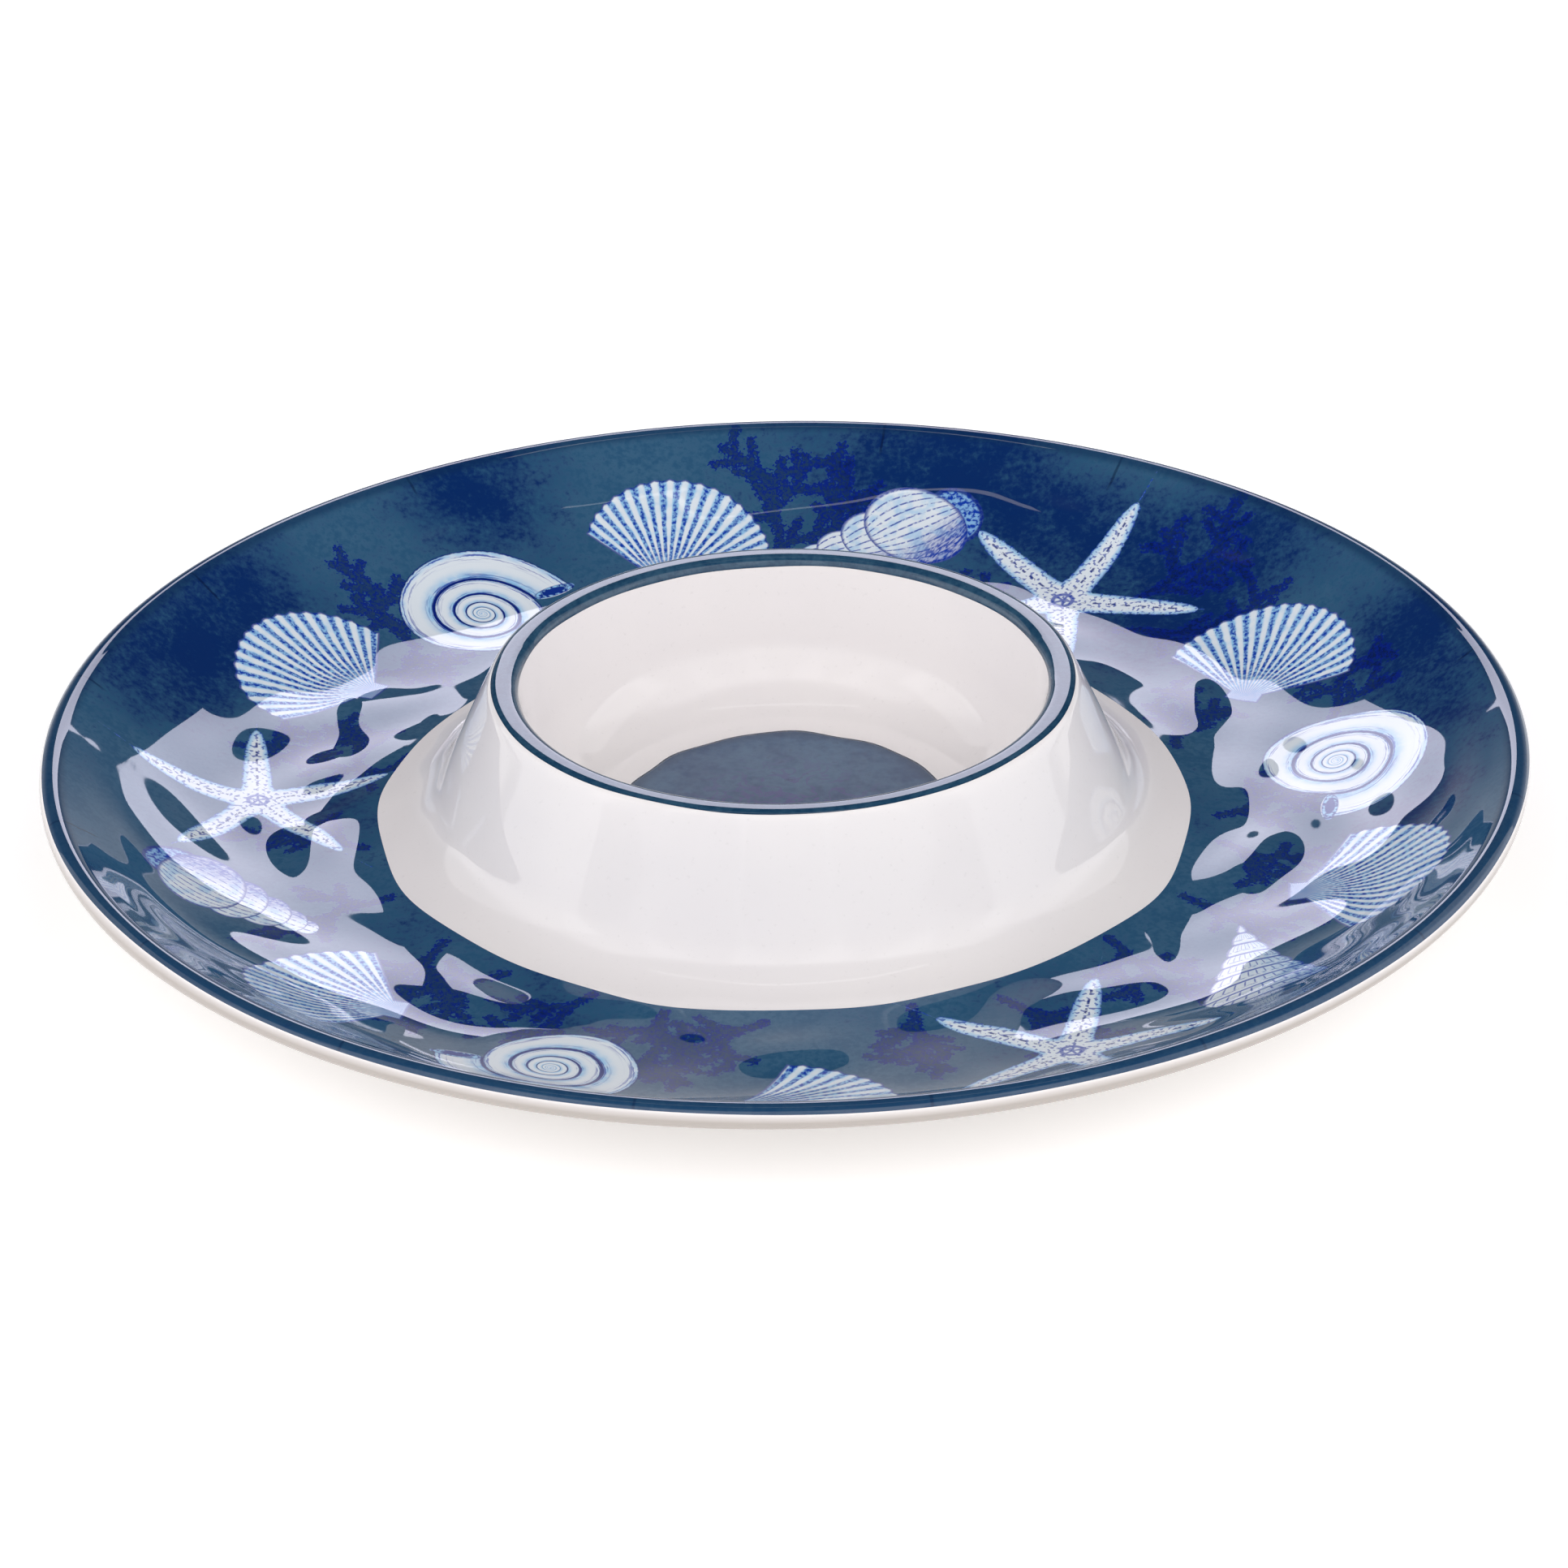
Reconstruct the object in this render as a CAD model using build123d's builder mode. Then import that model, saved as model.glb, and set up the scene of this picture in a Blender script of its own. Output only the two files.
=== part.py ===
from build123d import *
from math import cos, radians, tan
import os

# Chip and dip server: a round dish with a chip well and, in its middle, a dip bowl on a flared cone.
# The dish is one compression moulding in white melamine. Printed paper foils are fused into its face,
# and a clear melamine glaze runs over the face and round the rim. Nothing on it moves.
# Units are millimetres. Z is the axis of the dish, and Z = 0 is the table it stands on.
# Every piece is round: its section is drawn as (radius, height), set on the XZ plane and revolved.

os.makedirs("parts", exist_ok=True)

# ---- driving dimensions ----
rim_diameter = 381.0
bowl_height = 45.5  # table to the crest of the dip bowl
rim_height = 30.8  # table to the crest of the outer rim
wall = 3.2
foot_height = 3.0
foot_width = 3.4
foot_edge_round = 0.8

dip_mouth_diameter = 136.6  # across the inner corner of the crest, before it is rounded
crest_width = 6.7
crest_round = 3.0
crest_depth = 5.6  # solid moulding under the crest, above the hollow of the cone
dip_floor_rise = 0.8  # dip floor above the well floor
dip_wall_lean = 12.0  # degrees from upright
dip_floor_round = 22.0
cone_lean = 25.0  # degrees from upright
cone_toe_round = 18.0
hollow_round = 1.0

well_slope = 36.0  # degrees from level
well_round = 70.0
least_flat_floor = 12.0  # flat ring of well floor that carries the foot
rim_shoulder = 4.4  # inner corner of the rim to its outer face
rim_inner_round = 3.5
rim_outer_round = 3.2
lip_depth = 5.8  # height of the rim's outer face
lip_edge_round = 1.6
lip_root_round = 3.0

glaze_thickness = 0.2
foil_thickness = 0.2
glaze_stop = 2.2  # glaze ends this far above the underside of the lip
print_margin = 0.6  # a foil stops this far short of a curve at its edge
rim_wrap = 3.1  # well foil, down the outer face from the crest of the rim
crest_wrap_inside = 3.8  # dip rim foil, down the bowl's wall from the crest
crest_wrap_outside = 1.0  # dip rim foil, down the cone from the crest


# ---- sizes that follow ----
def corner_shift(size, turn):
    """Distance along a line from its corner to a round of this radius, or to the corner offset by it."""
    return size * tan(radians(turn / 2))


skin = glaze_thickness + foil_thickness
rim_r = rim_diameter / 2
rim_inner_r = rim_r - rim_shoulder
lip_z = rim_height - lip_depth

floor_under_z = foot_height
well_floor_z = floor_under_z + wall
dip_floor_z = well_floor_z + dip_floor_rise

dip_turn = 90 - dip_wall_lean
cone_turn = 90 - cone_lean
dip_mouth_r = dip_mouth_diameter / 2
crest_outer_r = dip_mouth_r + crest_width
dip_corner_r = dip_mouth_r - (bowl_height - dip_floor_z) * tan(radians(dip_wall_lean))
cone_toe_r = crest_outer_r + (bowl_height - well_floor_z) * tan(radians(cone_lean))
cone_foot_r = cone_toe_r + corner_shift(cone_toe_round, cone_turn)

well_corner_r = rim_inner_r - (rim_height - well_floor_z) / tan(radians(well_slope))
well_room = well_corner_r - cone_foot_r - least_flat_floor
well_bend = min(well_round, well_room / tan(radians(well_slope / 2)))
well_flat_r = well_corner_r - corner_shift(well_bend, well_slope)
foot_r = (cone_foot_r + well_flat_r) / 2

dip_print_r = dip_corner_r - corner_shift(dip_floor_round, dip_turn) - print_margin
well_print_r = cone_foot_r + print_margin

# Underside corners: the same lines as the face, one wall thickness away.
lip_inner_r = well_corner_r + (lip_z - well_floor_z + wall / cos(radians(well_slope))) / tan(
    radians(well_slope)
)
well_under_corner_r = well_corner_r + corner_shift(wall, well_slope)
cone_under_toe_r = cone_toe_r - corner_shift(wall, cone_turn)
bowl_under_z = dip_floor_z - wall
bowl_under_corner_r = dip_corner_r + corner_shift(wall, dip_turn)
hollow_top_z = bowl_height - crest_depth
hollow_outer_r = crest_outer_r + crest_depth * tan(radians(cone_lean)) - wall / cos(radians(cone_lean))
hollow_inner_r = (
    dip_mouth_r - crest_depth * tan(radians(dip_wall_lean)) + wall / cos(radians(dip_wall_lean))
)

# ---- shared lines of the section ----
# Finished face: dip floor, bowl wall, crest, cone, well floor, well wall, rim, outer face.
with BuildLine() as face_line:
    FilletPolyline(
        (0, dip_floor_z),
        (dip_corner_r, dip_floor_z),
        (dip_mouth_r, bowl_height),
        (crest_outer_r, bowl_height),
        (cone_toe_r, well_floor_z),
        (well_corner_r, well_floor_z),
        (rim_inner_r, rim_height),
        (rim_r, rim_height),
        (rim_r, lip_z + glaze_stop),
        radius=[
            dip_floor_round,
            crest_round,
            crest_round,
            cone_toe_round,
            well_bend,
            rim_inner_round,
            rim_outer_round,
        ],
    )

# Underside: lip, well wall, foot ring, hollow of the cone, dip bowl.
with BuildLine() as underside_line:
    FilletPolyline(
        (rim_r, lip_z + glaze_stop),
        (rim_r, lip_z),
        (lip_inner_r, lip_z),
        (well_under_corner_r, floor_under_z),
        (foot_r + foot_width / 2, floor_under_z),
        (foot_r + foot_width / 2, 0),
        (foot_r - foot_width / 2, 0),
        (foot_r - foot_width / 2, floor_under_z),
        (cone_under_toe_r, floor_under_z),
        (hollow_outer_r, hollow_top_z),
        (hollow_inner_r, hollow_top_z),
        (bowl_under_corner_r, bowl_under_z),
        (0, bowl_under_z),
        radius=[
            lip_edge_round,
            lip_root_round,
            well_bend + wall,
            foot_edge_round,
            foot_edge_round,
            foot_edge_round,
            foot_edge_round,
            cone_toe_round + wall,
            hollow_round,
            hollow_round,
            dip_floor_round + wall,
        ],
    )

# ---- shared sections ----
with BuildSketch() as whole_section:
    with BuildLine():
        add(face_line.line)
        add(underside_line.line)
        Line((0, bowl_under_z), (0, dip_floor_z))
    make_face()


def face_layer(top, bottom):
    """Section of the layer that lies between these two depths under the finished face."""
    with BuildSketch() as layer:
        for depth, mode in ((bottom, Mode.ADD), (top, Mode.SUBTRACT)):
            if depth > 0:
                with BuildLine():
                    add(face_line.line)
                    offset(amount=depth, side=Side.RIGHT, closed=True)
                make_face(mode=mode)
    return layer.sketch


def foil_section(*windows):
    """Section of a foil: the foil layer where these boxes, each two (radius, height) corners, keep it."""
    with BuildSketch() as kept:
        for (low_r, low_z), (high_r, high_z) in windows:
            with BuildLine():
                Polyline((low_r, low_z), (high_r, low_z), (high_r, high_z), (low_r, high_z), close=True)
            make_face()
        add(face_layer(glaze_thickness, skin), mode=Mode.INTERSECT)
    return kept.sketch


clear_z = bowl_height + wall  # above everything
clear_r = rim_r + wall  # outside everything
crest_middle_r = dip_mouth_r + crest_width / 2

dip_floor_section = foil_section(((0, 0), (dip_print_r, clear_z)))
dip_rim_section = foil_section(
    ((dip_corner_r, bowl_height - crest_wrap_inside), (crest_middle_r, clear_z)),
    ((crest_middle_r, bowl_height - crest_wrap_outside), (cone_toe_r, clear_z)),
)
chip_well_section = foil_section(
    ((well_print_r, 0), (rim_inner_r, clear_z)),
    ((rim_inner_r, rim_height - rim_wrap), (clear_r, clear_z)),
)

# ---- the dish: white melamine moulding, with its face one skin below the finished face ----
with BuildPart() as server_body:
    with BuildSketch(Plane.XZ):
        add(whole_section.sketch)
        add(face_layer(0, skin), mode=Mode.SUBTRACT)
    revolve(axis=Axis.Z)

# ---- printed foil on the chip well: from the foot of the cone, up the wall and over the rim ----
with BuildPart() as chip_well_foil:
    with BuildSketch(Plane.XZ):
        add(chip_well_section)
    revolve(axis=Axis.Z)

# ---- printed foil on the crest of the dip bowl ----
with BuildPart() as dip_rim_foil:
    with BuildSketch(Plane.XZ):
        add(dip_rim_section)
    revolve(axis=Axis.Z)

# ---- printed foil on the floor of the dip bowl ----
with BuildPart() as dip_floor_foil:
    with BuildSketch(Plane.XZ):
        add(dip_floor_section)
    revolve(axis=Axis.Z)

# ---- clear glaze: fills the skin wherever there is no foil, and covers the foils ----
with BuildPart() as clear_glaze:
    with BuildSketch(Plane.XZ):
        add(face_layer(0, skin))
        add([dip_floor_section, dip_rim_section, chip_well_section], mode=Mode.SUBTRACT)
    revolve(axis=Axis.Z)

# ---- names and files ----
pieces = {
    "server_body": server_body,
    "chip_well_foil": chip_well_foil,
    "dip_rim_foil": dip_rim_foil,
    "dip_floor_foil": dip_floor_foil,
    "clear_glaze": clear_glaze,
}
for name, piece in pieces.items():
    piece.part.label = name
    export_step(piece.part, f"parts/{name}.step")
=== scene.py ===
import math
import bmesh
import bpy
import numpy as np
from mathutils import Matrix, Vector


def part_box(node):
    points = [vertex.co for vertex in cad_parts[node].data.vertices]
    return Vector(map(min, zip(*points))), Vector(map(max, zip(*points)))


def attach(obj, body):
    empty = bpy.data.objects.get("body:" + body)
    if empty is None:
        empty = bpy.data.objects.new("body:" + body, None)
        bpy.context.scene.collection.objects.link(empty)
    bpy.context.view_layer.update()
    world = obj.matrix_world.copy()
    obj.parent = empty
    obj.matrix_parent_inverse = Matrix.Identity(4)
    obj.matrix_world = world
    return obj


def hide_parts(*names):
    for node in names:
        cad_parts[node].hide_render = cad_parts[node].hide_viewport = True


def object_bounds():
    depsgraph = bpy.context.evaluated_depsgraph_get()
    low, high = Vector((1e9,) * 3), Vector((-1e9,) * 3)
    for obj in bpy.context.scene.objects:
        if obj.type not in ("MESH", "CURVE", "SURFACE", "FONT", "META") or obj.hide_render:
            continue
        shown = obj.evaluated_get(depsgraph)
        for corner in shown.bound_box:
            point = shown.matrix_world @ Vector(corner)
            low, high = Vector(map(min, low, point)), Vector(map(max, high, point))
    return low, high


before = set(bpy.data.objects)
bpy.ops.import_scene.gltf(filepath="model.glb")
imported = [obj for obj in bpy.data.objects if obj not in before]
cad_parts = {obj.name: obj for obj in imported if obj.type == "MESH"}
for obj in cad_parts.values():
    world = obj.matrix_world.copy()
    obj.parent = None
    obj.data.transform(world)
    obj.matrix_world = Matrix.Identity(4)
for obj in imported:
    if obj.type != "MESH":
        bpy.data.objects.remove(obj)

cad_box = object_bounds()
MM = 0.001

# ---------------------------------------------------------------------------------------------
# The studio: a plain pale floor, a large soft light on the viewer's side, a low pale panel behind
# the dish that the glaze mirrors, and a long-lens camera looking down by about 28 degrees.
# ---------------------------------------------------------------------------------------------
bpy.context.scene.view_settings.view_transform = "Standard"

camera_distance = 1.5
camera_elevation = math.radians(27.58)
camera_roll = math.radians(-0.975)
aim_height = 28.0 * MM

camera_data = bpy.data.cameras.new("camera")
camera_data.sensor_width = 36.0
camera_data.lens = 134.0
camera_data.shift_y = -0.0315
camera_data.clip_end = 50.0
camera = bpy.data.objects.new("camera", camera_data)
bpy.context.scene.collection.objects.link(camera)
camera.matrix_world = (
    Matrix.Translation((0.0, 0.0, aim_height))
    @ Matrix.Rotation(math.pi / 2 - camera_elevation, 4, "X")
    @ Matrix.Translation((0.0, 0.0, camera_distance))
    @ Matrix.Rotation(camera_roll, 4, "Z")
)
bpy.context.scene.camera = camera


def softbox(name, width, height, distance, azimuth, elevation, power, colour=(1.0, 1.0, 1.0)):
    """Rectangular lamp on a sphere round the dish, facing it: sizes and distance in metres, angles in
    degrees, power in watts. Azimuth 0 is behind the dish and 90 is to its right."""
    lamp = bpy.data.lights.new(name, "AREA")
    lamp.shape = "RECTANGLE"
    lamp.size = width
    lamp.size_y = height
    lamp.energy = power
    lamp.color = colour
    holder = bpy.data.objects.new(name, lamp)
    bpy.context.scene.collection.objects.link(holder)
    holder.matrix_world = (
        Matrix.Translation((0.0, 0.0, aim_height))
        @ Matrix.Rotation(math.radians(180 - azimuth), 4, "Z")
        @ Matrix.Rotation(math.radians(90 - elevation), 4, "X")
        @ Matrix.Translation((0.0, 0.0, distance))
    )


for azimuth in (120, 150, 180, 210, 240):
    softbox(f"tent_light_{azimuth}", 1.1, 1.6, 2.0, azimuth, 38, 2.7)
softbox("side_light_left", 2.2, 1.4, 1.9, 279, 22, 7.6)
softbox("side_light_right", 2.2, 1.4, 1.9, 81, 22, 7.2)
softbox("back_panel", 0.43, 0.23, 0.85, 0, 26, 1.3, (0.97, 0.94, 1.10))
softbox("top_strip", 1.3, 0.07, 2.0, 0, 82, 0.6)

# The far wall of the room glows softly near the floor and is dark overhead. The viewer's side is one
# large soft light, from just over the floor up to about 60 degrees.
world = bpy.data.worlds.new("studio")
bpy.context.scene.world = world
world.use_nodes = True
sky = world.node_tree
direction = sky.nodes.new("ShaderNodeTexCoord")
split = sky.nodes.new("ShaderNodeSeparateXYZ")
sky.links.new(direction.outputs["Generated"], split.inputs[0])


def sky_math(operation, *terms):
    """One Math node of the sky, from sockets and plain numbers."""
    node = sky.nodes.new("ShaderNodeMath")
    node.operation = operation
    for slot, term in zip(node.inputs, terms):
        if isinstance(term, float):
            slot.default_value = term
        else:
            sky.links.new(term, slot)
    return node.outputs[0]


def sky_ramp(value, *limits):
    """Smooth step of a value, from the first limit to the second, between the last two."""
    node = sky.nodes.new("ShaderNodeMapRange")
    node.interpolation_type = "SMOOTHSTEP"
    sky.links.new(value, node.inputs["Value"])
    for slot, limit in zip(("From Min", "From Max", "To Min", "To Max"), limits):
        node.inputs[slot].default_value = limit
    return node.outputs["Result"]


up = split.outputs["Z"]
toward_back = sky_math("MULTIPLY_ADD", up, 0.9, split.outputs["Y"])
on_viewer_side = sky_ramp(toward_back, 0.85, 0.60, 0.0, 1.0)
over_floor = sky_ramp(up, 0.02, 0.30, 0.0, 1.0)
under_zenith = sky_ramp(up, 0.95, 0.84, 0.0, 0.93)
soft_front = sky_math("MULTIPLY", sky_math("MULTIPLY", on_viewer_side, over_floor), under_zenith)
brightness = sky_math("ADD", soft_front, sky_ramp(up, 0.0, 0.4, 0.62, 0.03))
sky.links.new(brightness, sky.nodes["Background"].inputs["Strength"])
sky_tint = sky.nodes.new("ShaderNodeMix")
sky_tint.data_type = "RGBA"
sky.links.new(soft_front, sky_tint.inputs[0])
sky_tint.inputs[6].default_value = (0.90, 0.93, 1.0, 1.0)
sky_tint.inputs[7].default_value = (1.0, 0.985, 0.985, 1.0)
sky.links.new(sky_tint.outputs[2], sky.nodes["Background"].inputs["Color"])

floor_size = 12.0
floor_mesh = bpy.data.meshes.new("floor")
floor_corners = [(x * floor_size, y * floor_size, 0) for x, y in ((-1, -1), (1, -1), (1, 1), (-1, 1))]
floor_mesh.from_pydata(floor_corners, [], [(0, 1, 2, 3)])
floor = bpy.data.objects.new("floor", floor_mesh)
bpy.context.scene.collection.objects.link(floor)
floor_paint = bpy.data.materials.new("pale_floor")
floor_paint.use_nodes = True
floor_shader = floor_paint.node_tree.nodes["Principled BSDF"]
floor_shader.inputs["Base Color"].default_value = (0.93, 0.93, 0.93, 1)
floor_shader.inputs["Roughness"].default_value = 0.9
floor_shader.inputs["Emission Color"].default_value = (1, 1, 1, 1)
floor_shader.inputs["Emission Strength"].default_value = 0.38
floor_mesh.materials.append(floor_paint)

# ---------------------------------------------------------------------------------------------
# The dish itself: one compression moulding in warm white melamine, with a foot ring, a hollow
# flared cone and a dip bowl. Its face is sunk a little where a foil is fused in. The clear glaze
# over it is its coat, all over. Its underside and lip are painted a darker warm grey, as painted shade.
# ---------------------------------------------------------------------------------------------
rim_r = cad_box[1][0] / MM
bowl_height = cad_box[1][2] / MM
glaze_depth = 0.2
rim_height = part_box("chip_well_foil")[1][2] / MM + glaze_depth
wall = 3.2
well_floor_z = 6.2
dip_floor_z = 7.0
dip_mouth_r = 68.3
crest_width = 6.7
dip_wall_lean = math.radians(12)
cone_lean = math.radians(25)
well_slope = math.radians(36)
rim_shoulder = 4.4
lip_z = rim_height - 5.8
foot_height = 3.0
foot_r = 117.1
foot_half_width = 1.7
foil_depth = 0.2
foil_clearance = 0.05

crest_outer_r = dip_mouth_r + crest_width
dip_corner_r = dip_mouth_r - (bowl_height - dip_floor_z) * math.tan(dip_wall_lean)
cone_toe_r = crest_outer_r + (bowl_height - well_floor_z) * math.tan(cone_lean)
well_corner_r = rim_r - rim_shoulder - (rim_height - well_floor_z) / math.tan(well_slope)
lip_inner_r = well_corner_r + (lip_z - well_floor_z + wall / math.cos(well_slope)) / math.tan(well_slope)
hollow_top_z = bowl_height - 5.6
hollow_middle_r = 72.2
hollow_half_width = 1.8


def rounded_path(corners, rounds, step):
    """Polyline whose inner corners are arcs tangent to both legs; straight legs are cut to the step."""
    corners = np.array(corners, float)
    stretches = [corners[:1]]
    for before, corner, after, radius in zip(corners[:-2], corners[1:-1], corners[2:], rounds):
        back = (before - corner) / np.linalg.norm(before - corner)
        ahead = (after - corner) / np.linalg.norm(after - corner)
        turn = math.pi - math.acos(np.clip(back @ ahead, -1, 1))
        reach = radius * math.tan(turn / 2)
        centre = corner + (back + ahead) / np.linalg.norm(back + ahead) * radius / math.cos(turn / 2)
        first, last = corner + back * reach - centre, corner + ahead * reach - centre
        t = np.linspace(0, 1, max(4, int(radius * turn / step) + 2))[:, None]
        arc = (np.sin((1 - t) * turn) * first + np.sin(t * turn) * last) / math.sin(turn)
        stretches.append(centre + arc)
    stretches.append(corners[-1:])
    path = np.concatenate(stretches)
    pieces = [path[:1]]
    for a, b in zip(path[:-1], path[1:]):
        count = max(1, math.ceil(np.linalg.norm(b - a) / (2.2 * step)))
        pieces.append(a + (b - a) * np.arange(1, count + 1)[:, None] / count)
    return np.concatenate(pieces)


# Section of the moulding as (radius, height), from the dip floor's middle over the face and the rim and
# back along the underside, with the rounds of its corners.
section = rounded_path(
    [
        (0, dip_floor_z),
        (dip_corner_r, dip_floor_z),
        (dip_mouth_r, bowl_height),
        (crest_outer_r, bowl_height),
        (cone_toe_r, well_floor_z),
        (well_corner_r, well_floor_z),
        (rim_r - rim_shoulder, rim_height),
        (rim_r, rim_height),
        (rim_r, lip_z),
        (lip_inner_r, lip_z),
        (well_corner_r + wall * math.tan(well_slope / 2), foot_height),
        (foot_r + foot_half_width, foot_height),
        (foot_r + foot_half_width, 0),
        (foot_r - foot_half_width, 0),
        (foot_r - foot_half_width, foot_height),
        (cone_toe_r - wall * math.tan((math.pi / 2 - cone_lean) / 2), foot_height),
        (hollow_middle_r + hollow_half_width, hollow_top_z),
        (hollow_middle_r - hollow_half_width, hollow_top_z),
        (dip_corner_r + wall * math.tan((math.pi / 2 - dip_wall_lean) / 2), dip_floor_z - wall),
        (0, dip_floor_z - wall),
    ],
    [22, 3, 3, 18, 70, 3.5, 3.2, 1.6, 3, 73.2, 0.8, 0.8, 0.8, 0.8, 21.2, 1, 1, 25.2],
    1.0,
)
section_s = np.concatenate([[0], np.cumsum(np.linalg.norm(np.diff(section, axis=0), axis=1))])
tangent = np.gradient(section, section_s, axis=0)
section_normal = np.stack([-tangent[:, 1], tangent[:, 0]], 1) / np.linalg.norm(tangent, axis=1)[:, None]

# Arc lengths along the section, from the axis, at which each print begins or ends.
on_face = section_s < section_s[np.argmax(section[:, 0] > rim_r - 0.01)] + 6
dip_print_s = 41.7
band_inner_s = section_s[np.argmax(section[:, 1] > bowl_height - 3.8)]
band_outer_s = section_s[on_face & (section[:, 0] < 80) & (section[:, 1] > bowl_height - 1.0)][-1]
well_print_r = 105.4
well_inner_s = section_s[on_face & (section[:, 0] < well_print_r)][-1]
well_outer_s = section_s[on_face & (section[:, 1] > rim_height - 3.1)][-1]
print_edges = (dip_print_s, band_inner_s, band_outer_s, well_inner_s, well_outer_s)
wobble_sizes = (0.45, 0.10, 0.10, 0.55, 0.12)
wobble_reach = 7


def print_wobble(s, theta):
    """Arc lengths shifted near each print edge, by a sum of three sines round the dish, as a hand-laid
    foil is. The rim's edge is also drawn up the lip, least on the right."""
    shifted = s.copy()
    for number, (edge, size) in enumerate(zip(print_edges, wobble_sizes)):
        wave = (
            np.sin(5 * theta + 1.3 * number)
            + 0.8 * np.sin(9 * theta + 2.1 * number)
            + 0.6 * np.sin(14 * theta + 0.7 * number)
        )
        if edge == well_outer_s:
            wave = wave + 4 * np.cos(theta) - 8
        near = np.clip(1 - np.abs(s - edge) / wobble_reach, 0, 1)
        shifted = shifted + size * wave * near
    return shifted


# Waviness of the moulded face: the ripple's size in the well (mm), its share on the cone, and the
# swell where the cone meets the well floor (mm high and mm wide).
ripple_size = 2.0
cone_ripple = 0.2
toe_swell = 1.2
toe_swell_width = 9


def moulding_ripple(s, theta):
    """Slow swells of a moulded face: seeded products of sines along and round the dish, full in the well,
    slight on the cone and none in the bowl or on the rim."""
    chance = np.random.default_rng(7)
    swell = np.zeros(np.broadcast(s, theta).shape)
    for _ in range(16):
        around = chance.integers(6, 26)
        along = chance.uniform(24, 52)
        phase = chance.uniform(0, 2 * math.pi, 2)
        swell += np.sin(around * theta + phase[0]) * np.sin(2 * math.pi * s / along + phase[1]) / around
    on_cone = np.clip((s - band_outer_s - 6) / 20, 0, 1) * cone_ripple
    in_well = np.clip((s - well_inner_s) / 14, 0, 1) * (1 - cone_ripple)
    before_rim = np.clip((well_outer_s - 12 - s) / 14, 0, 1)
    return ripple_size * swell * (on_cone + in_well) * before_rim


def face_points(s, theta, depth):
    """Points, in metres, at arc length s along the section turned by theta, this deep under the face
    along its normal. The face is lifted by the ripple and by a bell curve at the toe of the cone."""
    s = print_wobble(s, theta)
    radius = np.interp(s, section_s, section[:, 0])
    height = np.interp(s, section_s, section[:, 1])
    normal = np.stack([np.interp(s, section_s, section_normal[:, k]) for k in (0, 1)])
    normal = normal / np.linalg.norm(normal, axis=0)
    toe = toe_swell * np.exp(-(((s - well_inner_s + 4) / toe_swell_width) ** 2))
    lift = moulding_ripple(s, theta) + toe - depth
    radius = np.maximum(radius + normal[0] * lift, 0)
    return np.stack([radius * np.cos(theta), radius * np.sin(theta), height + normal[1] * lift], -1) * MM


def round_mesh(name, points, shell):
    """Closed mesh from a grid of points, columns by places round the dish. A shell's columns form a loop;
    otherwise its first and last columns are the two poles on the axis."""
    columns, places = points.shape[:2]
    i = np.arange(columns if shell else columns - 1)[:, None]
    j = np.arange(places)[None, :]
    i_next, j_next = (i + 1) % columns, (j + 1) % places
    quads = np.stack(np.broadcast_arrays(i * places + j, i_next * places + j,
                                         i_next * places + j_next, i * places + j_next), -1).reshape(-1, 4)
    mesh = bpy.data.meshes.new(name)
    mesh.vertices.add(columns * places)
    mesh.vertices.foreach_set("co", points.reshape(-1))
    mesh.loops.add(quads.size)
    mesh.loops.foreach_set("vertex_index", quads.reshape(-1).astype(np.int32))
    mesh.polygons.add(len(quads))
    mesh.polygons.foreach_set("loop_start", np.arange(0, quads.size, 4, dtype=np.int32))
    mesh.polygons.foreach_set("use_smooth", np.ones(len(quads), bool))
    mesh.update(calc_edges=True)
    piece = bpy.data.objects.new(name, mesh)
    bpy.context.scene.collection.objects.link(piece)
    return piece


def close_poles(piece):
    """Merges the points that meet on the axis, which turns the innermost faces into triangles."""
    edit = bmesh.new()
    edit.from_mesh(piece.data)
    poles = [v for v in edit.verts if v.co.x ** 2 + v.co.y ** 2 < 1e-12]
    bmesh.ops.remove_doubles(edit, verts=poles, dist=1e-6)
    edit.to_mesh(piece.data)
    edit.free()


def turns(count):
    """Evenly spaced angles round the dish, in radians."""
    return np.arange(count) * 2 * math.pi / count


def add_values(mesh, name, values):
    """One value at every point, for a material to read by this name."""
    mesh.attributes.new(name, "FLOAT", "POINT").data.foreach_set("value", values.astype(np.float32))


inside_print = [(-1, dip_print_s), (band_inner_s, band_outer_s), (well_inner_s, well_outer_s)]
body_s, body_depth = [], []
for s in np.unique(np.concatenate([section_s, print_edges])):
    printed = any(low < s < high for low, high in inside_print)
    depths = [printed]
    if s in print_edges:
        depths = [False, True] if s in (band_inner_s, well_inner_s) else [True, False]
    for deep in depths:
        body_s.append(s)
        body_depth.append((foil_depth + foil_clearance) * deep)
body_theta = turns(256)
server_body = round_mesh(
    "server_body_moulding",
    face_points(*np.broadcast_arrays(np.array(body_s)[:, None], body_theta[None, :]),
                np.array(body_depth)[:, None]),
    False,
)
# Painted shade: 0 on the face, rising to 1 just past the rim's print, down the lip and over the underside.
underside_painted_shade = np.clip((np.array(body_s) - well_outer_s) / 1.5, 0, 1)
add_values(server_body.data, "underside", np.repeat(underside_painted_shade, len(body_theta)))
close_poles(server_body)
server_body.data.set_sharp_from_angle(angle=math.radians(50))


def srgb(red, green, blue):
    """Linear colour of a swatch given in 0 to 255 steps."""
    swatch = np.array([red, green, blue]) / 255
    linear = np.where(swatch <= 0.04045, swatch / 12.92, ((swatch + 0.055) / 1.055) ** 2.4)
    return (*[float(v) for v in linear], 1.0)


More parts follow.
